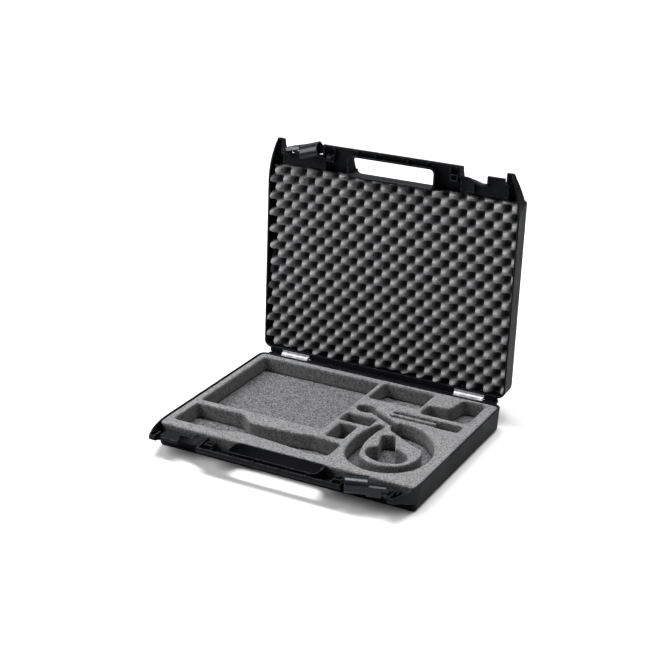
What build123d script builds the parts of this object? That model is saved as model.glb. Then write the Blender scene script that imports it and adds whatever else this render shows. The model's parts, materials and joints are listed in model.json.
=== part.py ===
from build123d import *
import math
import os

os.makedirs("parts", exist_ok=True)

# Carrying case with two like half shells, open at the angle of its hinge stop.
# X runs along the width, Y from the handle at the front to the hinges at the back, Z up.
# The origin is in the middle of the base's underside, which lies on Z = 0.
# Both shells are one moulding: the lid is the base turned half round about the Y axis
# through the parting plane, so each has its latch at one end and its catch at the other.

# Box of one half shell; its sides and front lean in towards the floor
box_width = 438.0
box_depth = 319.0
shell_height = 40.6
wall = 2.6
floor_thickness = 2.8
side_draft = 2.7
front_draft = 3.0
rear_corner_radius = 12.0
front_corner_radius = 6.0
bottom_edge_radius = 6.0
part_gap = 0.15
held_gap = 0.02

# Handle zone ahead of the box; places along X are measured in from the box's side
front_reach = 43.5
front_height = 10.0
trough_depth = 26.0
bar_end_in = 99.0
bar_edge_radius = 6.0
ear_inner_in = 25.5
ear_curve_start = 31.5
ear_curve_radius = 180.0

# Hand hole and its raised frame
hole_length = 139.0
hole_depth = 26.5
hole_draft = 4.0
hole_corner_radius = 7.0
frame_wall = 2.4
frame_drop = 1.2

# Latch, drawn closed, and where it turns
latch_pivot_side_in = 33.5
latch_pivot_in = 18.0
latch_face_ahead = 5.0
latch_free_end_in = 94.0
latch_tail = 4.5
latch_plate = 2.6
latch_block_length = 32.5
latch_kink = 4.0
latch_jaw_depth = 20.5
latch_jaw_slope = 6.0
latch_jaw_bow = 1.8
latch_jaw_thickness = 2.2
latch_flange_thickness = 2.0
latch_arm_top = 5.0
latch_rail_deep = 7.5
latch_rail_shallow = 6.0
latch_neck = 7.5
latch_fit = 0.3
latch_pin_radius = 1.5
latch_pin_clearance = 0.08
knuckle_radius = 4.6
lug_thickness = 2.6
base_latch_rest = 14.0
lid_latch_rest = 14.0

# Lip that the latch clamps, the seat of the other latch's arm, and the locating peg and socket
own_lip_in = 17.5
lug_wall_in = 23.5
lug_wall_side_in = 44.0
catch_lip_in_near = 16.0
catch_lip_in_far = 23.6
lip_flat = 9.0
lip_bevel = 5.0
catch_tab_side_near = 30.0
catch_tab_side_far = 58.5
catch_tab_in = 10.8
catch_seat_in = 21.6
bay_rear_in = 39.5
peg_side_in = 111.5
peg_in = 20.5
peg_length = 8.0
peg_width = 6.0
peg_rise = 4.0
peg_chamfer = 1.0
peg_fit = 0.5
socket_wall = 2.0
rib_places = (28.0, 60.0, 100.0)
rib_thickness = 1.8
rib_drop = 3.0
scoop_radius = 20.0
scoop_sink = 4.0
scoop_side_in = 88.0
scoop_length = 22.0

# Hinges
hinge_behind = 7.5
hinge_side_in = 60.5
hinge_length = 50.0
hinge_plate = 2.0
hinge_plate_height = 19.0
hinge_plate_corner = 3.0
hinge_barrel_radius = 3.3
hinge_pin_radius = 1.5
hinge_pin_clearance = 0.06
hinge_knuckles = 5
hinge_gap = 0.3
hinge_leaf_clearance = 0.4
rivet_radius = 1.6
rivet_head_radius = 3.4
rivet_head_height = 1.3
rivet_spread = 32.0
rivet_below = 11.5
rear_rim_clearance = 0.5
rear_rim_thickness = 2.4
rear_hook_reach = 2.5
rear_hook_drop = 3.0
open_angle = 92.4

# Foam
foam_gap = 0.5
foam_top_drop = 0.4
pad_thickness = 10.0
crate_pitch_x = 29.5
crate_pitch_y = 28.2
crate_turn = 3.9
crate_peak_side_in = 49.5
crate_peak_front_in = 8.0
crate_half_height = 8.5

side_x = box_width / 2
front_y = -box_depth / 2
back_y = box_depth / 2
edge_y = front_y - front_reach
hinge_y = back_y + hinge_behind
bar_end = side_x - bar_end_in
ear_inner = side_x - ear_inner_in
latch_pivot_x = side_x - latch_pivot_side_in
latch_pivot_y = edge_y + latch_pivot_in
latch_face_y = latch_pivot_y - latch_face_ahead
latch_free_end = side_x - latch_free_end_in
lug_wall_x = side_x - lug_wall_side_in
hinge_middle = side_x - hinge_side_in
foam_bevel = 0.7 * (bottom_edge_radius - wall)
eps = 0.01


def box_between(low, high):
    size = [b - a for a, b in zip(low, high)]
    middle = [(a + b) / 2 for a, b in zip(low, high)]
    return Pos(*middle) * Box(*size)


def mirrored(solid):
    return mirror(solid, about=Plane.YZ)


def outline(points, height, z):
    """A closed polygon in plan, raised from z by height."""
    face = Pos(0, 0, z) * make_face(Polyline(*points, close=True))
    return extrude(face, height, dir=(0, 0, 1))


def section_run(points, x_low, x_high):
    """A closed polygon in the Y-Z plane, run along X."""
    face = Pos(x_low, 0, 0) * (Plane.YZ * make_face(Polyline(*points, close=True)))
    return extrude(face, x_high - x_low, dir=(1, 0, 0))


# The moulding of both half shells, with its parting plane at Z = 0 and its floor below

def rounded_plan(width, depth, rear_radius, front_radius):
    plan = Rectangle(width, depth)
    plan = fillet(plan.vertices().group_by(Axis.Y)[-1], rear_radius)
    front = plan.vertices().group_by(Axis.Y)[0]
    return fillet(front, front_radius)


def leaning_block(inset, low, high, bevel=0.0):
    """The box drawn in by inset between two heights, and by bevel more at its foot; it leans in as the shell does."""
    plans = []
    for z, inset in ((low, inset + bevel), (high, inset)):
        share = -z / shell_height
        width = box_width - 2 * inset - 2 * side_draft * share
        depth = box_depth - 2 * inset - front_draft * share
        plan = rounded_plan(width, depth, rear_corner_radius - inset, front_corner_radius - inset)
        plans.append(Pos(0, front_draft * share / 2, z) * plan)
    return loft(plans)


def side_envelope(inset):
    """Upright block whose sides curve in towards the ears, drawn in by inset."""
    half = side_x - inset
    radius = ear_curve_radius - inset
    start = front_y + ear_curve_start

    def edge_at(y):
        return side_x - ear_curve_radius + math.sqrt(radius ** 2 - (start - y) ** 2)

    end = edge_y - 1
    middle = (start + end) / 2
    back = back_y + 1
    edges = [Line((half, back), (half, start)),
             ThreePointArc((half, start), (edge_at(middle), middle), (edge_at(end), end)),
             Line((edge_at(end), end), (-edge_at(end), end)),
             ThreePointArc((-edge_at(end), end), (-edge_at(middle), middle), (-half, start)),
             Line((-half, start), (-half, back)), Line((-half, back), (half, back))]
    return extrude(Pos(0, 0, -2 * shell_height) * make_face(edges), 3 * shell_height)


def tub():
    outer = leaning_block(0, -shell_height, 0)
    outer = fillet(outer.edges().group_by(Axis.Z)[0], bottom_edge_radius) & side_envelope(0)
    inner = leaning_block(wall, floor_thickness - shell_height, 0)
    inner = fillet(inner.edges().group_by(Axis.Z)[0], bottom_edge_radius - wall) & side_envelope(wall)
    lowered = box_between((wall - side_x, front_y - 1, wall - trough_depth),
                          (side_x - wall, front_y + wall + front_draft, 1))
    return outer - inner - (lowered & side_envelope(wall))


def zone_plan(inset, back):
    """Plan of the handle zone: ears, bar and the two latch bays, drawn in by inset."""
    half = side_x - inset
    edge = edge_y + inset
    own_lip = edge_y + own_lip_in + inset
    lug_wall = edge_y + lug_wall_in + inset
    near = edge_y + catch_lip_in_near + inset
    far = edge_y + catch_lip_in_far + inset
    tab = edge_y + catch_tab_in + inset
    tab_near = side_x - catch_tab_side_near
    tab_far = side_x - catch_tab_side_far
    return [
        (half, back), (half, edge), (ear_inner + inset, edge), (ear_inner + inset, lug_wall),
        (lug_wall_x + inset, lug_wall), (lug_wall_x + inset, own_lip), (bar_end - inset, own_lip),
        (bar_end - inset, edge), (-bar_end + inset, edge), (-bar_end + inset, near),
        (-bar_end - lip_flat, near), (-tab_far + lip_flat, far), (-tab_far - inset, far), (-tab_far - inset, tab),
        (-tab_near + inset, tab), (-tab_near + inset, near), (-ear_inner - inset, near),
        (-ear_inner - inset, edge), (-half, edge), (-half, back),
    ]


def trough_section(inset, half):
    """Section of the handle zone, drawn in by inset: sloping underside and rounded front edge."""
    front, low = edge_y + inset, -front_height + inset
    points = [(front_y + wall, 1), (front, 1), (front, low),
              (edge_y + bar_edge_radius + 2, low), (front_y + wall, -trough_depth + inset)]
    face = make_face(Polyline(*points, close=True))
    nose = face.vertices().group_by(Axis.X)[0].sort_by(Axis.Y)[0]
    face = Pos(-half, 0, 0) * (Plane.YZ * fillet(nose, bar_edge_radius - inset))
    return extrude(face, 2 * half, dir=(1, 0, 0))


def lip_corner(lip, reach, low_x, high_x):
    """Lower front corner of a lip, taken off for the sloping inside of a latch's jaw."""
    under = -front_height - 1
    return section_run([(lip - 1, under), (lip - 1, under + reach + 2), (lip + reach + 1, under)], low_x, high_x)


def handle_zone():
    tall = trough_depth + 2
    outer = outline(zone_plan(0, front_y + wall), tall, -tall) & side_envelope(0) & trough_section(0, side_x)
    back = front_y + wall + 1
    inner = outline(zone_plan(wall, back), tall + 2, -tall) & side_envelope(wall) & trough_section(wall, side_x)
    catch_end = side_x - catch_tab_side_far - lip_flat
    for lip_in, low_x, high_x in ((own_lip_in, bar_end, lug_wall_x), (catch_lip_in_near, -catch_end, -bar_end)):
        lip = edge_y + lip_in
        outer -= lip_corner(lip, lip_bevel, low_x + eps, high_x - eps)
        inner -= lip_corner(lip, lip_bevel + math.sqrt(2) * wall, low_x - wall, high_x + wall)
    return outer, inner


def latch_bays(outer, inner):
    """Both bays are shallow from below, so that the latch's jaws reach behind the lips."""
    rear = edge_y + bay_rear_in
    for side in (-1, 1):
        low_x, high_x = sorted((side * bar_end, side * ear_inner))
        outer -= box_between((low_x, edge_y - 1, -trough_depth - 2), (high_x, rear, -front_height))
        inner -= box_between((low_x - wall, edge_y - 1, -trough_depth - 2),
                             (high_x + wall, rear + wall, -front_height + wall))
    return outer, inner


def hole_plan(grow, z):
    """Plan of the hand hole at a height, wider and deeper towards the parting plane."""
    draft = hole_draft * (1 + z / trough_depth)
    middle = front_y - (hole_depth + draft) / 2
    size = (hole_length + 2 * draft + 2 * grow, hole_depth + draft + 2 * grow)
    return Pos(0, middle, z) * RectangleRounded(*size, hole_corner_radius + grow)


def hand_hole_frame():
    hole = loft([hole_plan(0, -trough_depth), hole_plan(0, 1)])
    frame = loft([hole_plan(frame_wall, -trough_depth), hole_plan(frame_wall, 0)])
    return frame & trough_section(0, side_x), hole


def locating_features():
    """Peg on the latch side, socket on the catch side, and the ribs of the bar."""
    peg_x = side_x - peg_side_in
    y = edge_y + peg_in
    half_x, half_y = peg_length / 2, peg_width / 2
    peg = box_between((peg_x - half_x, y - half_y, -trough_depth), (peg_x + half_x, y + half_y, peg_rise))
    peg = chamfer(peg.edges().group_by(Axis.Z)[-1], peg_chamfer)
    peg += box_between((peg_x - half_x - wall, y - half_y - wall, -trough_depth),
                       (peg_x + half_x + wall, y + half_y + wall, -frame_drop))
    hole_x, hole_y = half_x + peg_fit, half_y + peg_fit
    socket = box_between((-peg_x - hole_x - socket_wall, y - hole_y - socket_wall, -trough_depth),
                         (-peg_x + hole_x + socket_wall, y + hole_y + socket_wall, 0))
    socket_hole = box_between((-peg_x - hole_x, y - hole_y, -2 * peg_rise), (-peg_x + hole_x, y + hole_y, 1))
    ribs = Part()
    for place in rib_places:
        for x in (-place, place):
            ribs += box_between((x - rib_thickness / 2, edge_y + 1, -trough_depth),
                                (x + rib_thickness / 2, front_y - hole_depth - 1, -rib_drop))
    added = (peg + socket + ribs) & trough_section(0, side_x)
    peg_top = peg & box_between((0, edge_y, -peg_rise), (side_x, front_y, 2 * peg_rise))
    return added, peg_top, socket_hole


def catch_scoop():
    near = edge_y + catch_lip_in_near
    centre = scoop_side_in - side_x
    solid = box_between((-bar_end - scoop_length, near + 1, -front_height), (-bar_end, edge_y + bay_rear_in, 0))
    cutter = Pos(centre, near, scoop_radius - scoop_sink) * Rot(90, 0, 0) * Cylinder(scoop_radius, 3 * bay_rear_in)
    return solid, cutter


def latch_lugs():
    """Two lugs from the bay's rear wall that hold the latch's pin above and below its knuckle."""
    lugs = Part()
    for low in (-front_height, -lug_thickness - part_gap):
        body = Pos(latch_pivot_x, latch_pivot_y, low + lug_thickness / 2) * Cylinder(knuckle_radius, lug_thickness)
        body += box_between((latch_pivot_x - knuckle_radius, latch_pivot_y, low),
                            (latch_pivot_x + knuckle_radius, edge_y + lug_wall_in + 1, low + lug_thickness))
        lugs += body
    return lugs


def catch_seat():
    """Room in the tab for the arm of the other shell's latch, which stands across the parting plane."""
    depth = latch_arm_top + latch_fit + part_gap
    return box_between((-ear_inner, edge_y - 1, -depth), (catch_tab_side_far - side_x + 1, edge_y + catch_seat_in, 1))


def rear_rim():
    """Ledge along the rear edge with a hooked flange that closes the gap when the case is open."""
    face = hinge_y - rear_rim_clearance
    tip = hinge_y + rear_hook_reach
    top, under = -part_gap, -rear_rim_thickness - part_gap
    section = [(back_y - 1, top), (face, top), (face, -rear_hook_drop), (tip, -rear_hook_drop),
               (tip, -rear_hook_drop - rear_rim_thickness),
               (face - rear_rim_thickness, -rear_hook_drop - rear_rim_thickness),
               (face - rear_rim_thickness, under), (back_y - 1, under)]
    inner_end = hinge_middle - hinge_length / 2 - 1
    outer_end = hinge_middle + hinge_length / 2 + 1
    corner = side_x - rear_corner_radius
    rim = Part()
    for low_x, high_x in ((-inner_end, inner_end), (outer_end, corner), (-corner, -outer_end)):
        rim += section_run(section, low_x, high_x)
    return rim


def half_shell():
    outer, inner = handle_zone()
    outer, inner = latch_bays(outer, inner)
    frame, hole = hand_hole_frame()
    added, peg_top, socket_hole = locating_features()
    scoop_solid, scoop_cut = catch_scoop()
    zone = outer - inner
    zone += (frame + added + scoop_solid) & outer
    zone += latch_lugs()
    shell = tub() + zone + rear_rim()
    rim_half = hole_length / 2 + hole_draft
    shell += box_between((-rim_half, front_y - hole_corner_radius, -trough_depth), (rim_half, front_y + wall, -frame_drop))
    shell -= hole
    shell -= socket_hole
    shell -= scoop_cut
    shell -= catch_seat()
    pin_hole = Pos(latch_pivot_x, latch_pivot_y, 0) * Cylinder(latch_pin_radius + held_gap, 4 * front_height)
    shell -= pin_hole
    shell -= box_between((-box_width, -box_depth, -part_gap / 2), (box_width, box_depth, shell_height))
    for x in rivet_places():
        shell -= rivet_shank(x, held_gap)
        shell -= mirrored(rivet_shank(x, held_gap))
    return shell + peg_top


# The latch, drawn closed in the moulding's frame

def latch_body():
    jaw = front_height + latch_fit
    far = jaw + latch_jaw_thickness
    tail = latch_pivot_x + latch_tail
    block_end = latch_free_end + latch_block_length
    face = latch_face_y
    inside = face + latch_plate
    slope = latch_jaw_slope
    # Section of the block: upright face that curves back above and below into two jaws
    top, tip = (face, latch_arm_top), (face + latch_jaw_depth, far)
    foot, toe = (face, -latch_arm_top), (face + latch_jaw_depth, -far)
    bow = (slope, (latch_arm_top + far) / 2 + latch_jaw_bow)
    section = [ThreePointArc(top, (face + bow[0], bow[1]), tip),
               Polyline(tip, (tip[0], jaw), (inside + slope, jaw), (inside, latch_arm_top), (inside, -latch_arm_top),
                        (inside + slope, -jaw), (toe[0], -jaw), toe),
               ThreePointArc(toe, (face + bow[0], -bow[1]), foot), Line(foot, top)]
    block_face = Pos(latch_free_end, 0, 0) * (Plane.YZ * make_face(section))
    block = extrude(block_face, latch_block_length, dir=(1, 0, 0))
    block = block.rotate(Axis((block_end, face, 0), (0, 0, 1)), latch_kink)
    plate = box_between((block_end - 1, face, -front_height), (latch_pivot_x - latch_neck, inside, latch_arm_top))
    neck = box_between((latch_pivot_x - latch_neck - 1, face, latch_fit), (tail, inside, latch_arm_top))
    rail_points = [(block_end - 1, face), (tail, face), (tail, face + latch_rail_shallow),
                   (block_end - 1, face + latch_rail_deep)]
    rail = outline(rail_points, latch_flange_thickness, latch_arm_top - latch_flange_thickness)
    low = -front_height + lug_thickness + latch_fit
    high = -lug_thickness - part_gap - latch_fit
    knuckle = Pos(latch_pivot_x, latch_pivot_y, (low + high) / 2) * Cylinder(knuckle_radius, high - low)
    web = box_between((latch_pivot_x - latch_neck - latch_plate, face + 1, low), (latch_pivot_x, latch_pivot_y, high))
    body = block + plate + neck + rail + knuckle + web
    bore = Pos(latch_pivot_x, latch_pivot_y, 0) * Cylinder(latch_pin_radius + latch_pin_clearance, 4 * front_height)
    return body - bore


def latch_pin():
    low = -front_height
    high = -part_gap
    pin = Pos(latch_pivot_x, latch_pivot_y, (low + high) / 2) * Cylinder(latch_pin_radius, high - low)
    return pin


def swung(solid, angle):
    """Turned outwards about the latch's pin."""
    pivot = Axis((latch_pivot_x, latch_pivot_y, 0), (0, 0, 1))
    return solid.rotate(pivot, angle)


# One hinge: a leaf for each shell and a pin, drawn closed in the moulding's frame

def knuckle_spans(first):
    pitch = hinge_length / hinge_knuckles
    start = hinge_middle - hinge_length / 2
    return [(start + pitch * i + hinge_gap / 2, start + pitch * (i + 1) - hinge_gap / 2)
            for i in range(hinge_knuckles) if i % 2 == first]


def rod(x_low, x_high, radius):
    return Pos((x_low + x_high) / 2, hinge_y, 0) * Rot(0, 90, 0) * Cylinder(radius, x_high - x_low)


def hinge_leaf(first):
    """Plate on the rear wall, a ledge level with the rim and the barrel's knuckles on its edge."""
    half_length = (hinge_length - hinge_gap) / 2
    start, end = hinge_middle - half_length, hinge_middle + half_length
    plate = box_between((start, back_y, -part_gap - hinge_plate_height), (end, back_y + hinge_plate, -part_gap))
    plate = fillet(plate.edges().filter_by(Axis.Y).group_by(Axis.Z)[0], hinge_plate_corner)
    under = -rear_rim_thickness - part_gap
    ledge_end = hinge_y - hinge_barrel_radius - hinge_leaf_clearance
    leaf = plate + box_between((start, back_y, under), (end, ledge_end, -part_gap))
    for low, high in knuckle_spans(first):
        leaf += box_between((low, back_y + 1, under), (high, hinge_y, -part_gap))
        leaf += rod(low, high, hinge_barrel_radius)
    for low, high in knuckle_spans(1 - first):
        leaf -= rod(low - hinge_gap, high + hinge_gap, hinge_barrel_radius + hinge_leaf_clearance)
    leaf -= rod(start - 1, end + 1, hinge_pin_radius + (hinge_pin_clearance if first else held_gap))
    for x in rivet_places():
        leaf -= rivet_shank(x, held_gap)
    return leaf


def rivet_places():
    return hinge_middle - rivet_spread / 2, hinge_middle + rivet_spread / 2


def rivet_shank(x, gap=0.0):
    """Shank through the leaf's plate and the rear wall behind it."""
    inner_face = back_y - wall
    length = wall + hinge_plate + part_gap
    return Pos(x, inner_face + length / 2, -rivet_below) * Rot(90, 0, 0) * Cylinder(rivet_radius + gap, length)


def hinge_rivets():
    head_face = back_y + hinge_plate + part_gap / 2
    rivets = Part()
    for x in rivet_places():
        head = Pos(x, head_face + rivet_head_height / 2, -rivet_below) * Rot(-90, 0, 0) * Cone(
            rivet_head_radius, rivet_head_radius / 2, rivet_head_height)
        rivets += rivet_shank(x) + head
    return rivets + mirrored(rivets)


def hinge_pin():
    return rod(hinge_middle - hinge_length / 2, hinge_middle + hinge_length / 2, hinge_pin_radius)


# Foam, drawn in the moulding's frame

def foam_blank(low, high, bevel=0.0):
    """Foam that fills the box between two heights, clear of the shell all round and of its rounded bottom."""
    gap = wall + foam_gap
    blank = leaning_block(gap, low + bevel, high)
    if bevel:
        blank += leaning_block(gap, low, low + bevel, bevel)
    return blank & side_envelope(gap)


def pocket(points, radius):
    face = make_face(Polyline(*points, close=True))
    return fillet(face.vertices(), radius)


def rect_pocket(x_low, x_high, y_low, y_high, radius):
    return Pos((x_low + x_high) / 2, (y_low + y_high) / 2) * RectangleRounded(x_high - x_low, y_high - y_low, radius)


# Pockets of the left side, measured from the box's front left corner

def receiver_pocket():
    return rect_pocket(15, 231.5, 104.5, 303, 3)


def handheld_pocket():
    points = [(16, 24.5), (16, 91.5), (100, 91.5), (123, 72.5), (133, 70.5), (199, 73.5), (231, 79.5),
              (280, 75.5), (280, 29.5), (249, 25.5), (219, 29.5), (144, 36.5), (123, 33.5), (95, 24.5)]
    return pocket(points, 6)


def small_pockets():
    return rect_pocket(236.5, 289, 149.5, 179.5, 2.5) + rect_pocket(244, 274, 89.5, 141.5, 2.5)


def rear_pocket():
    return rect_pocket(239, 328, 243.5, 307.5, 7)


# Pockets of the right side, measured from the box's front right corner

def headset_pocket():
    """Neck band and ear loop: a wide ring with an open left limb, an arm and an oval end."""
    left_top, ring_left, ring_right = (-142, 159.5), (-143, 55.5), (-29, 55.5)
    top_right, top_left, notch = (-49, 155.5), (-113, 185.5), (-122, 167.5)
    inner_top, inner_corner = (-115, 154.5), (-61, 121.5)
    inner_right, inner_low_right, inner_low_left = (-45, 115.5), (-49, 57.5), (-121, 59.5)
    limb_end = (-127, 160.5)
    edges = [ThreePointArc(left_top, (-151.5, 109.5), ring_left), ThreePointArc(ring_left, (-89, 20), ring_right),
             ThreePointArc(ring_right, (-24, 107.5), top_right), ThreePointArc(top_right, (-77, 178.5), top_left),
             Line(top_left, notch), Line(notch, inner_top), Line(inner_top, inner_corner),
             Line(inner_corner, inner_right), ThreePointArc(inner_right, (-39, 87.5), inner_low_right),
             ThreePointArc(inner_low_right, (-85, 42.5), inner_low_left),
             ThreePointArc(inner_low_left, (-131, 97.5), limb_end), ThreePointArc(limb_end, (-135, 165.5), left_top)]
    ring = make_face(edges)
    arm = pocket([(-169, 209.5), (-175, 199.5), (-123, 169.5), (-113, 179.5)], 2)
    end = Pos(-182, 205.5) * Rot(0, 0, -12) * Ellipse(17, 13.5)
    return ring + arm + end


def stem_pocket():
    stem = pocket([(-120, 134.5), (-100, 141.5), (-82, 101.5), (-106, 91.5)], 3)
    cap = Pos(-85, 77.5) * Rot(0, 0, -10) * Ellipse(34, 25)
    return stem + cap


def lead_slots():
    slots = rect_pocket(-139, -24, 211.5, 220.5, 3) + rect_pocket(-139, -59, 198.5, 206, 3)
    return slots + rect_pocket(-63, -24, 195.5, 220.5, 4)


def corner_pocket():
    return pocket([(-103, 230.5), (-22, 230.5), (-22, 310.5), (-61, 310.5), (-67, 269.5), (-103, 265.5)], 9)


def foam_insert():
    low = -shell_height + floor_thickness + pad_thickness + 2 * part_gap
    block = foam_blank(low, -foam_top_drop)
    left, right = Pos(-side_x, front_y, low - 1), Pos(side_x, front_y, low - 1)
    height = -low + 2
    for shape in (receiver_pocket(), handheld_pocket(), small_pockets(), rear_pocket()):
        block -= left * extrude(shape, height)
    for shape in (headset_pocket(), stem_pocket(), lead_slots(), corner_pocket()):
        block -= right * extrude(shape, height)
    return block


def foam_pad():
    low = -shell_height + floor_thickness + part_gap
    return foam_blank(low, low + pad_thickness, foam_bevel)


def egg_crate():
    """Faceted field of peaks and hollows, cut slightly askew from its sheet, with flat back and sides."""
    back = -shell_height + floor_thickness + part_gap
    middle = -foam_top_drop - crate_half_height
    step_x, step_y = crate_pitch_x / 2, crate_pitch_y / 2
    peak_x, peak_y = side_x - crate_peak_side_in, front_y + crate_peak_front_in
    # Steps counted from that peak, with two to spare all round for the turn
    first_i, last_i = math.floor((-side_x - peak_x) / step_x) - 2, math.ceil((side_x - peak_x) / step_x) + 2
    first_j, last_j = math.floor((front_y - peak_y) / step_y) - 2, math.ceil((back_y - peak_y) / step_y) + 2

    def top(i, j):
        rise = crate_half_height if (i + j) % 2 == 0 else -crate_half_height
        return (i * step_x, j * step_y, middle + rise)

    def low(i, j):
        return (i * step_x, j * step_y, back - 1)

    def flat(points):
        return Face(Wire.make_polygon(points, close=True))

    faces = []
    for i in range(first_i, last_i):
        for j in range(first_j, last_j):
            centre = ((i + 0.5) * step_x, (j + 0.5) * step_y, middle)
            corners = [top(i, j), top(i + 1, j), top(i + 1, j + 1), top(i, j + 1)]
            for k in range(4):
                faces.append(flat([corners[k], corners[(k + 1) % 4], centre]))
    across, along = range(first_i, last_i + 1), range(first_j, last_j + 1)
    front, rear = [top(i, first_j) for i in across], [top(i, last_j) for i in across]
    left, right = [top(first_i, j) for j in along], [top(last_i, j) for j in along]
    for run in (front, rear, left, right):
        (x0, y0, _), (x1, y1, _) = run[0], run[-1]
        faces.append(flat(run + [(x1, y1, back - 1), (x0, y0, back - 1)]))
    faces.append(flat([low(first_i, first_j), low(first_i, last_j), low(last_i, last_j), low(last_i, first_j)]))
    sheet = Solid(Shell(faces)).rotate(Axis.Z, crate_turn).moved(Location((peak_x, peak_y, 0)))
    return sheet & foam_blank(back, -foam_top_drop, foam_bevel)


# Where the pieces stand: the base upright on the floor, the lid turned over and swung open

def place_base(solid):
    return solid.moved(Location((0, 0, shell_height)))


def turned_over(solid):
    return solid.rotate(Axis.Y, 180)


def place_lid(solid):
    closed = place_base(turned_over(solid))
    return closed.rotate(Axis((0, hinge_y, shell_height), (1, 0, 0)), -open_angle)


def main():
    shell = half_shell()
    insert, pad, crate = foam_insert(), foam_pad(), egg_crate()
    pin, body = latch_pin(), latch_body()
    base_side_leaf, lid_side_leaf, hinge_rod = hinge_leaf(0), hinge_leaf(1), hinge_pin()
    rivets = hinge_rivets()
    nodes = {
        "base_shell": place_base(shell),
        "lid_shell": place_lid(shell),
        "base_foam_insert": place_base(insert),
        "base_foam_pad": place_base(pad),
        "lid_foam": place_lid(crate),
        "base_latch": place_base(swung(body, base_latch_rest)),
        "lid_latch": place_lid(swung(body, lid_latch_rest)),
        "base_latch_pin": place_base(pin),
        "lid_latch_pin": place_lid(pin),
        "hinge_base_leaf_right": place_base(base_side_leaf),
        "hinge_base_leaf_left": place_base(mirrored(base_side_leaf)),
        "hinge_lid_leaf_right": place_lid(mirrored(lid_side_leaf)),
        "hinge_lid_leaf_left": place_lid(lid_side_leaf),
        "hinge_pin_right": place_base(hinge_rod),
        "hinge_pin_left": place_base(mirrored(hinge_rod)),
        "base_hinge_rivets": place_base(rivets),
        "lid_hinge_rivets": place_lid(rivets),
    }
    for name, solid in nodes.items():
        export_step(solid, f"parts/{name}.step")
        box = solid.bounding_box()
        print(name, len(solid.solids()), [round(v, 1) for v in (*box.min, *box.max)])


main()
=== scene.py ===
import json
import math

import bpy
import numpy as np
from mathutils import Matrix, Vector


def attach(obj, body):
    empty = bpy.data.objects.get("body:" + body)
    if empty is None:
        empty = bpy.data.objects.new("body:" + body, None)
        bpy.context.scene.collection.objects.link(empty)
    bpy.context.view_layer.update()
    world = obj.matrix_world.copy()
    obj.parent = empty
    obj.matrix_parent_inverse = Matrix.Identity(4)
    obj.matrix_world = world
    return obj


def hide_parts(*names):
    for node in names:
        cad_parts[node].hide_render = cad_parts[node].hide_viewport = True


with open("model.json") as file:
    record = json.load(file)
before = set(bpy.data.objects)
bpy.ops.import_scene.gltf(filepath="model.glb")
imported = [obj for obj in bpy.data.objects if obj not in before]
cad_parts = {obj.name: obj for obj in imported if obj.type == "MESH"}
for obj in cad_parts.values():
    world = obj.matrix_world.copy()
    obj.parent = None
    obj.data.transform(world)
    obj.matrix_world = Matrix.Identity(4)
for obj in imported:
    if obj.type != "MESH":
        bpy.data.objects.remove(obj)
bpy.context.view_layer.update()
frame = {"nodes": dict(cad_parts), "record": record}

record = frame["record"]
nodes = frame["nodes"]
joints = {joint["name"]: joint for joint in record["behaviour"]["joints"]}
partingHeight = joints["lid_hinge"]["pos_m"][2]
print("frame loaded, nodes:", len(nodes))


# small helpers for objects

def deselectAll():
    bpy.ops.object.select_all(action="DESELECT")


def makeActive(obj):
    deselectAll()
    obj.select_set(True)
    bpy.context.view_layer.objects.active = obj


def applyModifier(obj, kind, **values):
    makeActive(obj)
    mod = obj.modifiers.new(kind.lower(), kind)
    for key, value in values.items():
        setattr(mod, key, value)
    bpy.ops.object.modifier_apply(modifier=mod.name)


def giveMaterial(obj, material):
    obj.data.materials.clear()
    obj.data.materials.append(material)


def turnAbout(point, degrees, axis):
    turn = Matrix.Rotation(math.radians(degrees), 4, axis)
    return Matrix.Translation(point) @ turn @ Matrix.Translation(-point)


# small helpers for shader nodes

def setInputs(node, values):
    for key, value in values.items():
        node.inputs[key].default_value = value


def addNode(tree, kind, values=None, **props):
    node = tree.nodes.new(kind)
    for key, value in props.items():
        setattr(node, key, value)
    setInputs(node, values or {})
    return node


# a texture whose place and scale come from other sockets
def addTexture(tree, kind, place, scale, values, **props):
    node = addNode(tree, kind, values, **props)
    tree.links.new(place, node.inputs["Vector"])
    tree.links.new(scale, node.inputs["Scale"])
    return node


# two values through one Math node, the second a socket or a plain number
def combine(tree, operation, first, second):
    node = addNode(tree, "ShaderNodeMath", operation=operation)
    tree.links.new(first, node.inputs[0])
    if isinstance(second, float):
        node.inputs[1].default_value = second
    else:
        tree.links.new(second, node.inputs[1])
    return node.outputs["Value"]


# one span of values turned into another and held at its ends
def remap(tree, value, source=(0.0, 1.0), target=(0.0, 1.0)):
    node = addNode(tree, "ShaderNodeMapRange", {"From Min": source[0], "From Max": source[1],
                                                "To Min": target[0], "To Max": target[1]})
    tree.links.new(value, node.inputs["Value"])
    return node.outputs["Result"]


# a Mix node's sockets for colours, which come after its pairs for numbers and vectors
mixFactor, mixLow, mixHigh, mixResult = 0, 6, 7, 2


def colourMix(tree, factor, low, high):
    node = addNode(tree, "ShaderNodeMix", {mixLow: (*low, 1), mixHigh: (*high, 1)}, data_type="RGBA")
    tree.links.new(factor, node.inputs[mixFactor])
    return node.outputs[mixResult]


# a fixed colour laid over a socket's colour where the mask says
def colourOver(tree, mask, under, colour):
    node = addNode(tree, "ShaderNodeMix", {mixHigh: (*colour, 1)}, data_type="RGBA")
    tree.links.new(mask, node.inputs[mixFactor])
    tree.links.new(under, node.inputs[mixLow])
    return node.outputs[mixResult]


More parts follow.
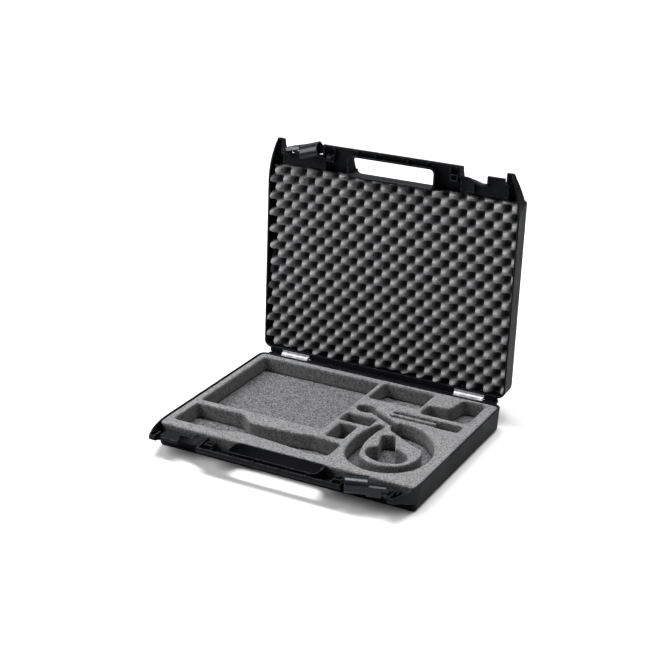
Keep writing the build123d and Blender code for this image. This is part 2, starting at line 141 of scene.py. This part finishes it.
def addBump(tree, shader, height, depth, normal=None):
    bump = addNode(tree, "ShaderNodeBump", {"Strength": 1.0, "Distance": depth})
    tree.links.new(height, bump.inputs["Height"])
    if normal:
        tree.links.new(normal, bump.inputs["Normal"])
    tree.links.new(bump.outputs["Normal"], shader.inputs["Normal"])


# a shared effect: its inputs are all plain numbers, its outputs are named with their kinds
def newGroup(name, inputs, outputs):
    tree = bpy.data.node_groups.new(name, "ShaderNodeTree")
    for label in inputs:
        tree.interface.new_socket(label, in_out="INPUT", socket_type="NodeSocketFloat")
    for label, kind in outputs.items():
        tree.interface.new_socket(label, in_out="OUTPUT", socket_type="NodeSocket" + kind)
    start = tree.nodes.new("NodeGroupInput").outputs
    end = tree.nodes.new("NodeGroupOutput").inputs
    return tree, start, end


def useGroup(tree, group, values):
    return addNode(tree, "ShaderNodeGroup", values, node_tree=group)


# moulded grain: fine pits over a very slow waviness, as left by an etched tool
def makeMouldGrain():
    tree, start, end = newGroup("mouldGrain", ("Grain Scale", "Wave Scale"),
                                {"Height": "Float", "Tone": "Float"})
    waveSpan = (0.3, 0.7)
    place = addNode(tree, "ShaderNodeTexCoord").outputs["Object"]
    fine = addTexture(tree, "ShaderNodeTexNoise", place, start["Grain Scale"],
                      {"Detail": 2.0, "Roughness": 0.6})
    slow = addTexture(tree, "ShaderNodeTexNoise", place, start["Wave Scale"],
                      {"Detail": 3.0, "Roughness": 0.55})
    tree.links.new(fine.outputs["Fac"], end["Height"])
    tree.links.new(remap(tree, slow.outputs["Fac"], waveSpan), end["Tone"])
    return tree


# edge finish: the rounded normal of an edge, and a patchy mask where that edge is rubbed and carries a
# painted highlight
def makeEdgeFinish():
    tree, start, end = newGroup("edgeFinish", ("Radius", "Breakup Scale"),
                                {"Normal": "Vector", "Rubbed And Highlit": "Float"})
    bendSpan = (0.985, 0.86)  # from a flat face to the middle of its edge
    patchSpan = (0.42, 0.62)
    rounded = addNode(tree, "ShaderNodeBevel", samples=4)
    tree.links.new(start["Radius"], rounded.inputs["Radius"])
    flat = addNode(tree, "ShaderNodeNewGeometry")
    bend = addNode(tree, "ShaderNodeVectorMath", operation="DOT_PRODUCT")
    tree.links.new(rounded.outputs["Normal"], bend.inputs[0])
    tree.links.new(flat.outputs["Normal"], bend.inputs[1])
    place = addNode(tree, "ShaderNodeTexCoord").outputs["Object"]
    patches = addTexture(tree, "ShaderNodeTexNoise", place, start["Breakup Scale"],
                         {"Detail": 4.0, "Roughness": 0.65})
    rubbedAndHighlit = combine(tree, "MULTIPLY", remap(tree, bend.outputs["Value"], bendSpan),
                     remap(tree, patches.outputs["Fac"], patchSpan))
    tree.links.new(rounded.outputs["Normal"], end["Normal"])
    tree.links.new(rubbedAndHighlit, end["Rubbed And Highlit"])
    return tree


# open foam: cells of mixed size, dark pores and a salt and pepper tone
def makeFoamCells():
    tree, start, end = newGroup("foamCells", ("Cell Scale", "Speckle Scale"),
                                {"Height": "Float", "Pores": "Float", "Speckle": "Float"})
    poreSpan = (0.12, 0.42)  # from the middle of a cell to its wall
    place = addNode(tree, "ShaderNodeTexCoord").outputs["Object"]
    cells = addTexture(tree, "ShaderNodeTexVoronoi", place, start["Cell Scale"],
                       {"Randomness": 1.0}, feature="F1")
    grains = addTexture(tree, "ShaderNodeTexVoronoi", place, start["Speckle Scale"],
                        {"Randomness": 1.0}, feature="F1")
    rough = addTexture(tree, "ShaderNodeTexNoise", place, start["Speckle Scale"],
                       {"Detail": 6.0, "Roughness": 0.75})
    tone = addNode(tree, "ShaderNodeSeparateColor")
    tree.links.new(grains.outputs["Color"], tone.inputs["Color"])
    tree.links.new(combine(tree, "ADD", cells.outputs["Distance"], rough.outputs["Fac"]), end["Height"])
    tree.links.new(remap(tree, cells.outputs["Distance"], poreSpan, (1.0, 0.0)), end["Pores"])
    tree.links.new(tone.outputs["Red"], end["Speckle"])
    return tree


# drawn metal: long fine lines along X with faint handling marks
def makeBrushedLines():
    tree, start, end = newGroup("brushedLines", ("Line Scale", "Stretch"),
                                {"Height": "Float", "Tone": "Float"})
    markScale = 90.0
    markSpan = (0.35, 0.7)
    place = addNode(tree, "ShaderNodeTexCoord").outputs["Object"]
    squeeze = addNode(tree, "ShaderNodeCombineXYZ", {"Y": 1.0, "Z": 1.0})
    tree.links.new(start["Stretch"], squeeze.inputs["X"])
    drawn = addNode(tree, "ShaderNodeVectorMath", operation="MULTIPLY")
    tree.links.new(place, drawn.inputs[0])
    tree.links.new(squeeze.outputs["Vector"], drawn.inputs[1])
    lines = addTexture(tree, "ShaderNodeTexNoise", drawn.outputs["Vector"], start["Line Scale"],
                       {"Detail": 4.0, "Roughness": 0.7})
    marks = addNode(tree, "ShaderNodeTexNoise", {"Scale": markScale, "Detail": 5.0})
    tree.links.new(place, marks.inputs["Vector"])
    tree.links.new(lines.outputs["Fac"], end["Height"])
    tree.links.new(remap(tree, marks.outputs["Fac"], markSpan), end["Tone"])
    return tree


mouldGrain = makeMouldGrain()
edgeFinish = makeEdgeFinish()
foamCells = makeFoamCells()
brushedLines = makeBrushedLines()
print("shader groups made")


def newMaterial(name):
    mat = bpy.data.materials.new(name)
    mat.use_nodes = True
    tree = mat.node_tree
    return mat, tree, tree.nodes["Principled BSDF"]


# in every look, rough is a pair: at the material's dark tone and at its pale one; the rubbed edge colour is
# both wear and a painted edge highlight
casePlasticLook = {
    "color": (0.0042, 0.0044, 0.0054),
    "paleColor": (0.0066, 0.0068, 0.0082),
    "rubbedAndHighlitColor": (0.115, 0.118, 0.125),
    "specular": 0.10,
    "tint": (0.95, 0.98, 1.0),
    "rough": (0.46, 0.58),
    "grainScale": 1400.0,
    "grainDepth": 0.00003,
    "edgeRadius": 0.0012,
}
latchPlasticLook = {
    "color": (0.0050, 0.0055, 0.0075),
    "paleColor": (0.0080, 0.0086, 0.0112),
    "rubbedAndHighlitColor": (0.060, 0.062, 0.070),
    "specular": 0.28,
    "tint": (0.93, 0.98, 1.0),
    "rough": (0.20, 0.28),
    "grainScale": 900.0,
    "grainDepth": 0.000012,
    "edgeRadius": 0.0018,
}
# what both plastics share
plasticFinish = {"ior": 1.5, "waveScale": 14.0, "rubAndHighlightScale": 160.0}


def mouldedPlastic(name, look):
    mat, tree, shader = newMaterial(name)
    grain = useGroup(tree, mouldGrain, {"Grain Scale": look["grainScale"],
                                        "Wave Scale": plasticFinish["waveScale"]})
    edge = useGroup(tree, edgeFinish, {"Radius": look["edgeRadius"],
                                       "Breakup Scale": plasticFinish["rubAndHighlightScale"]})
    body = colourMix(tree, grain.outputs["Tone"], look["color"], look["paleColor"])
    # pale edges: wear and a painted highlight along the rounded edges, where the mask says
    wornAndHighlit = colourOver(tree, edge.outputs["Rubbed And Highlit"], body, look["rubbedAndHighlitColor"])
    tree.links.new(wornAndHighlit, shader.inputs["Base Color"])
    tree.links.new(remap(tree, grain.outputs["Tone"], target=look["rough"]), shader.inputs["Roughness"])
    addBump(tree, shader, grain.outputs["Height"], look["grainDepth"], edge.outputs["Normal"])
    setInputs(shader, {"IOR": plasticFinish["ior"], "Specular IOR Level": look["specular"],
                       "Specular Tint": (*look["tint"], 1)})
    return mat


# in each foam look, the hollow share sets how dark the painted shade in the hollows gets; the pore colour is
# both the pores' own colour and that painted shade
insertFoamLook = {
    "dark": (0.064, 0.064, 0.066),
    "pale": (0.228, 0.228, 0.231),
    "poreAndShade": (0.028, 0.028, 0.030),
    "poreShare": 0.45,
    "hollowShade": 0.42,
    "cellScale": 560.0,
    "speckleScale": 680.0,
    "depth": 0.0005,
}
# the pad's colours are set darker than the insert's: painted shade for the pocket floors it forms
padFoamShadedLook = {
    "dark": (0.022, 0.022, 0.024),
    "pale": (0.175, 0.175, 0.178),
    "poreAndShade": (0.018, 0.018, 0.020),
    "poreShare": 0.5,
    "hollowShade": 0.0,
    "cellScale": 470.0,
    "speckleScale": 560.0,
    "depth": 0.0005,
}
crateFoamLook = {
    "dark": (0.130, 0.130, 0.134),
    "pale": (0.285, 0.285, 0.289),
    "poreAndShade": (0.018, 0.018, 0.020),
    "poreShare": 0.30,
    "hollowShade": 0.92,
    "cellScale": 820.0,
    "speckleScale": 1200.0,
    "depth": 0.0003,
}
# what all three foams share
foamFinish = {"rough": (0.98, 0.86), "specular": 0.15, "sheen": 0.15}


def openFoam(name, look):
    mat, tree, shader = newMaterial(name)
    foam = useGroup(tree, foamCells, {"Cell Scale": look["cellScale"], "Speckle Scale": look["speckleScale"]})
    speckle = foam.outputs["Speckle"]
    body = colourMix(tree, speckle, look["dark"], look["pale"])
    pores = combine(tree, "MULTIPLY", foam.outputs["Pores"], look["poreShare"])
    # painted shade: the foam is darkened toward the foot of each hollow, where shade falls, so a hollow is
    # darker than a knob
    shade = addNode(tree, "ShaderNodeAttribute", attribute_name="hollowShade")
    paintedShade = combine(tree, "MULTIPLY", shade.outputs["Fac"], look["hollowShade"])
    shaded = colourOver(tree, combine(tree, "MAXIMUM", paintedShade, pores), body, look["poreAndShade"])
    tree.links.new(shaded, shader.inputs["Base Color"])
    tree.links.new(remap(tree, speckle, target=foamFinish["rough"]), shader.inputs["Roughness"])
    addBump(tree, shader, foam.outputs["Height"], look["depth"])
    setInputs(shader, {"Specular IOR Level": foamFinish["specular"], "Sheen Weight": foamFinish["sheen"]})
    return mat


hingeLook = {
    "dark": (0.34, 0.34, 0.35),
    "pale": (0.50, 0.50, 0.51),
    "rough": (0.62, 0.48),
    "depth": 0.00002,
}
rivetLook = {
    "dark": (0.50, 0.50, 0.51),
    "pale": (0.74, 0.74, 0.75),
    "rough": (0.45, 0.28),
    "depth": 0.00002,
}
stripLook = {
    "dark": (0.15, 0.15, 0.155),
    "pale": (0.24, 0.24, 0.245),
    "rough": (0.45, 0.30),
    "depth": 0.00001,
}
steelLook = {
    "dark": (0.36, 0.36, 0.37),
    "pale": (0.56, 0.56, 0.57),
    "rough": (0.40, 0.25),
    "depth": 0.00001,
}
# what all metals share
metalFinish = {"metallic": 0.9, "lineScale": 900.0, "stretch": 0.02, "edgeRadius": 0.0004}


def drawnMetal(name, look):
    mat, tree, shader = newMaterial(name)
    lines = useGroup(tree, brushedLines, {"Line Scale": metalFinish["lineScale"],
                                          "Stretch": metalFinish["stretch"]})
    edge = useGroup(tree, edgeFinish, {"Radius": metalFinish["edgeRadius"]})
    tone = lines.outputs["Tone"]
    tree.links.new(colourMix(tree, tone, look["dark"], look["pale"]), shader.inputs["Base Color"])
    tree.links.new(remap(tree, tone, target=look["rough"]), shader.inputs["Roughness"])
    addBump(tree, shader, lines.outputs["Height"], look["depth"], edge.outputs["Normal"])
    setInputs(shader, {"Metallic": metalFinish["metallic"]})
    return mat


finishes = {
    "case_plastic": mouldedPlastic("satinCasePlastic", casePlasticLook),
    "latch_plastic": mouldedPlastic("glossyLatchPlastic", latchPlasticLook),
    "insert_foam": openFoam("insertFoam", insertFoamLook),
    "pad_foam": openFoam("padFoamPaintedShade", padFoamShadedLook),
    "egg_crate_foam": openFoam("eggCrateFoam", crateFoamLook),
    "hinge_metal": drawnMetal("paleHingeMetal", hingeLook),
    "rivet_metal": drawnMetal("rivetMetal", rivetLook),
    "steel": drawnMetal("pinSteel", steelLook),
}
stripFinish = drawnMetal("armStripMetal", stripLook)
for part in record["subparts"]:
    giveMaterial(nodes[part["node"]], finishes[part["material_slot"]])
print("materials on the CAD nodes")


# depth below the foam's face, from 0 at the rim or on a knob to 1 in a hollow, kept on the mesh as the mask
# for painted shade in the hollows
def paintHollowShade(mesh, top, look):
    hollowShade = mesh.attributes.new("hollowShade", "FLOAT", "POINT")
    for v in mesh.vertices:
        depth = (top - v.co.z - look["rimDepth"]) / look["shadeDepth"]
        hollowShade.data[v.index].value = min(max(depth, 0.0), 1.0)


def dressFoam(obj, nodeName, body, slotName):
    giveMaterial(obj, finishes[slotName])
    makeActive(obj)
    bpy.ops.object.shade_smooth()
    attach(obj, body)
    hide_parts(nodeName)
    deselectAll()


# cut foam of the base: the solid's own form with the softer corners of a knife cut, in metres
insertShape = {
    "voxel": 0.0018,
    "smoothFactor": 0.5,
    "smoothRounds": 9,
    "fill": 1.0,
    "rimDepth": 0.0008,
    "shadeDepth": 0.0050,
}
padShape = {
    "voxel": 0.0032,
    "smoothFactor": 0.5,
    "smoothRounds": 2,
    "fill": 1.0,
    "rimDepth": 0.0008,
    "shadeDepth": 0.0050,
}
mergeDistance = 0.00001  # joins the loose triangles of a CAD node


def softenedCopy(nodeName, name, look):
    obj = bpy.data.objects.new(name, nodes[nodeName].data.copy())
    bpy.context.scene.collection.objects.link(obj)
    makeActive(obj)
    bpy.ops.object.mode_set(mode="EDIT")
    bpy.ops.mesh.select_all(action="SELECT")
    bpy.ops.mesh.remove_doubles(threshold=mergeDistance)
    bpy.ops.object.mode_set(mode="OBJECT")
    applyModifier(obj, "REMESH", mode="VOXEL", voxel_size=look["voxel"], use_smooth_shade=True)
    applyModifier(obj, "SMOOTH", factor=look["smoothFactor"], iterations=look["smoothRounds"])
    paintHollowShade(obj.data, max(v.co.z for v in obj.data.vertices), look)
    return obj


cutInsert = softenedCopy("base_foam_insert", "cutFoamInsert", insertShape)
dressFoam(cutInsert, "base_foam_insert", "base", "insert_foam")
underPad = softenedCopy("base_foam_pad", "foamUnderPad", padShape)
dressFoam(underPad, "base_foam_pad", "base", "pad_foam")
print("base foam made", len(cutInsert.data.polygons), len(underPad.data.polygons))


# lid foam: one sheet of rounded knobs, cut slightly askew, with square edges that follow the shell,
# in metres and degrees as it lies in its moulding, and with the knobs' phase given by one peak
crateShape = {
    "halfWidth": 0.2159,
    "halfDepth": 0.1564,
    "topDrop": 0.0004,
    "thickness": 0.03725,
    "sideLean": 0.0025,
    "frontLean": 0.0028,
    "rearCorner": 0.0089,
    "frontCorner": 0.0029,
    "curveStart": -0.128,
    "curveRadius": 0.1769,
    "curveCentre": 0.039,
    "pitchX": 0.0295,
    "pitchY": 0.0282,
    "turn": 3.9,
    "peakX": 0.1748,
    "peakY": -0.1488,
    "relief": 0.0110,
    "gridX": 236,
    "gridY": 172,
    "fill": 0.8,
    "rimDepth": 0.0091667,
    "shadeDepth": 0.0091667,
}


# the lid's moulding is turned over about Y, lifted to the parting plane and swung open about the hinge
def mouldToLid():
    hinge = joints["lid_hinge"]
    turned = Matrix.Translation((0, 0, partingHeight)) @ Matrix.Rotation(math.pi, 4, "Y")
    return turnAbout(Vector(hinge["pos_m"]), -hinge["range_deg"][1], "X") @ turned


# the sheet's outline: straight sides that draw in toward the front, with four rounded corners
def crateOutline(across, along, look):
    y = along * look["halfDepth"]
    bow = np.minimum(y - look["curveStart"], 0)
    curved = look["curveCentre"] + np.sqrt(look["curveRadius"] ** 2 - bow ** 2)
    half = np.minimum(curved, look["halfWidth"])
    x = across * half
    for sign, radius in ((1, look["rearCorner"]), (-1, look["frontCorner"])):
        cornerX, cornerY = half - radius, look["halfDepth"] - radius
        dx, dy = np.abs(x) - cornerX, sign * y - cornerY
        reach = np.sqrt(dx ** 2 + dy ** 2)
        outside = (dx > 0) & (dy > 0) & (reach > radius)
        pull = radius / np.maximum(reach, radius)
        x = np.where(outside, np.sign(x) * (cornerX + dx * pull), x)
        y = np.where(outside, sign * (cornerY + dy * pull), y)
    return x, y


def knobHeight(x, y, look):
    a = math.radians(look["turn"])
    dx, dy = x - look["peakX"], y - look["peakY"]
    u = (dx * math.cos(a) + dy * math.sin(a)) / look["pitchX"]
    v = (dy * math.cos(a) - dx * math.sin(a)) / look["pitchY"]
    wave = np.cos(2 * math.pi * u) * np.cos(2 * math.pi * v)
    return look["relief"] * (np.sin(wave * math.pi / 2) - 1) - look["topDrop"]


def makeLidFoam(look):
    deselectAll()
    # a grid from -1 to 1 both ways, drawn out to the sheet's outline
    bpy.ops.mesh.primitive_grid_add(x_subdivisions=look["gridX"], y_subdivisions=look["gridY"], size=2)
    obj = bpy.context.object
    obj.name = "eggCrateFoam"
    mesh = obj.data
    co = np.zeros(len(mesh.vertices) * 3)
    mesh.vertices.foreach_get("co", co)
    co = co.reshape(-1, 3)
    x, y = crateOutline(co[:, 0], co[:, 1], look)
    co[:, 0], co[:, 1], co[:, 2] = x, y, knobHeight(x, y, look)
    mesh.vertices.foreach_set("co", co.ravel())
    mesh.update()
    # the edge goes straight back to the shell, leaning in as its walls do
    bpy.ops.object.mode_set(mode="EDIT")
    bpy.ops.mesh.select_all(action="SELECT")
    bpy.ops.mesh.region_to_loop()
    bpy.ops.mesh.extrude_edges_move()
    bpy.ops.object.mode_set(mode="OBJECT")
    rim = [v for v in mesh.vertices if v.select]
    for v in rim:
        v.co.x *= 1 - look["sideLean"] / look["halfWidth"]
        if v.co.y < 0:
            v.co.y += look["frontLean"] * (-v.co.y / look["halfDepth"])
        v.co.z = -look["topDrop"] - look["thickness"]
    bpy.ops.object.mode_set(mode="EDIT")
    bpy.ops.mesh.edge_face_add()
    bpy.ops.mesh.select_all(action="SELECT")
    bpy.ops.mesh.normals_make_consistent(inside=False)
    bpy.ops.object.mode_set(mode="OBJECT")
    paintHollowShade(mesh, -look["topDrop"], look)
    mesh.transform(mouldToLid())
    mesh.update()
    return obj


lidFoam = makeLidFoam(crateShape)
dressFoam(lidFoam, "lid_foam", "lid", "egg_crate_foam")
print("lid foam made", len(lidFoam.data.polygons))


# pale strip let into the top of each latch's arm, placed with the latch shut and turned out with it
stripShape = {
    "near": 0.1600,
    "far": 0.1845,
    "front": -0.1894,
    "back": -0.1846,
    "foot": 0.0050,
    "thickness": 0.00025,
    "edge": 0.0001,
    "edgeSteps": 2,
    "openAngle": 14.0,
}


def makeArmStrip(name, body, place, look):
    deselectAll()
    size = (look["far"] - look["near"], look["back"] - look["front"], look["thickness"])
    middle = (
        (look["near"] + look["far"]) / 2,
        (look["front"] + look["back"]) / 2,
        look["foot"] + look["thickness"] / 2,
    )
    bpy.ops.mesh.primitive_cube_add(size=1)
    obj = bpy.context.object
    obj.name = name
    obj.data.transform(Matrix.Translation(middle) @ Matrix.Diagonal((*size, 1)))
    applyModifier(obj, "BEVEL", width=look["edge"], segments=look["edgeSteps"])
    latchPivot = Vector(joints["base_latch_turn"]["pos_m"])
    obj.data.transform(place @ turnAbout(latchPivot, look["openAngle"], "Z"))
    giveMaterial(obj, stripFinish)
    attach(obj, body)


makeArmStrip("baseArmStrip", "base_latch", Matrix.Translation((0, 0, partingHeight)), stripShape)
makeArmStrip("lidArmStrip", "lid_latch", mouldToLid(), stripShape)
print("arm strips made")


# camera, as the photograph was taken: angles in degrees, places in metres, lens and sensor in millimetres
cameraView = {
    "azimuth": 27.545,
    "elevation": 22.202,
    "roll": 1.094,
    "distance": 2.3089,
    "aside": -0.001459,
    "above": -0.15688,
    "lift": 0.0068,
    "lens": 80.16,
    "sensor": 36.0,
    "nearest": 0.1,
    "farthest": 50.0,
}


def makeCamera(view):
    a, e, r = (math.radians(view[k]) for k in ("azimuth", "elevation", "roll"))
    back = Vector((math.sin(a) * math.cos(e), -math.cos(a) * math.cos(e), math.sin(e)))
    right = (-back).cross(Vector((0, 0, 1))).normalized()
    up = right.cross(-back)
    side = right * math.cos(r) + up * math.sin(r)
    top = up * math.cos(r) - right * math.sin(r)
    spot = back * view["distance"] - side * view["aside"] - top * view["above"] + Vector((0, 0, view["lift"]))
    data = bpy.data.cameras.new("photoCamera")
    data.lens = view["lens"]
    data.sensor_width = view["sensor"]
    data.clip_start, data.clip_end = view["nearest"], view["farthest"]
    cam = bpy.data.objects.new("photoCamera", data)
    bpy.context.scene.collection.objects.link(cam)
    cam.matrix_world = Matrix.Translation(spot) @ Matrix((side, top, back)).transposed().to_4x4()
    bpy.context.scene.camera = cam


makeCamera(cameraView)
print("camera placed")


# studio: a round white floor under a pale backdrop, a key light from the front left and one above the case,
# and three more at the back and the sides that keep the far floor white
studioLook = {
    "floorRadius": 2.2,
    "floorSides": 96,
    "floorColor": (0.70, 0.70, 0.70),
    "floorRough": 0.9,
    "floorSpecular": 0.1,
    "surround": 0.15,
    "backdrop": 1.10,
}
# each lamp: place, aim, width and depth in metres, power in watts
lamps = {
    "keyLight": ((-1.45, -1.45, 1.40), (0.0, 0.1, 0.15), (1.3, 1.3), 46.0),
    "topLight": ((-0.24, 0.02, 2.2), (-0.12, 0.0, 0.0), (0.6, 2.1), 66.0),
    "backLight": ((0.0, 2.9, 2.4), (0.0, 2.3, 0.0), (4.4, 1.4), 80.0),
    "sideLight": ((2.5, 0.0, 2.2), (2.0, 0.0, 0.0), (1.4, 3.6), 29.0),
    "leftLight": ((-2.8, 0.9, 2.4), (-2.2, 0.8, 0.0), (1.2, 2.6), 22.0),
}


def makeFloor(look):
    mat, _, shader = newMaterial("floorWhite")
    setInputs(shader, {"Base Color": (*look["floorColor"], 1), "Roughness": look["floorRough"],
                       "Specular IOR Level": look["floorSpecular"]})
    deselectAll()
    bpy.ops.mesh.primitive_circle_add(vertices=look["floorSides"], radius=look["floorRadius"],
                                      fill_type="NGON")
    floor = bpy.context.object
    floor.name = "studioFloor"
    giveMaterial(floor, mat)


def areaLight(name, spot, target, size, power):
    data = bpy.data.lights.new(name, "AREA")
    data.energy = power
    data.shape = "RECTANGLE"
    data.size, data.size_y = size
    lamp = bpy.data.objects.new(name, data)
    bpy.context.scene.collection.objects.link(lamp)
    lamp.location = spot
    lamp.rotation_mode = "QUATERNION"
    lamp.rotation_quaternion = (Vector(target) - Vector(spot)).to_track_quat("-Z", "Y")


# the backdrop is pale to look at and gives only a low surround light
def makeSurround(look):
    world = bpy.data.worlds.new("studioSurround")
    bpy.context.scene.world = world
    world.use_nodes = True
    tree = world.node_tree
    seen = addNode(tree, "ShaderNodeLightPath")
    strength = remap(tree, seen.outputs["Is Camera Ray"], target=(look["surround"], look["backdrop"]))
    sky = tree.nodes["Background"]
    setInputs(sky, {"Color": (1, 1, 1, 1)})
    tree.links.new(strength, sky.inputs["Strength"])


makeFloor(studioLook)
for lampName, (spot, target, size, power) in lamps.items():
    areaLight(lampName, spot, target, size, power)
makeSurround(studioLook)
bpy.context.scene.view_settings.view_transform = "Standard"
bpy.context.scene.view_settings.look = "Medium High Contrast"
print("studio lit")
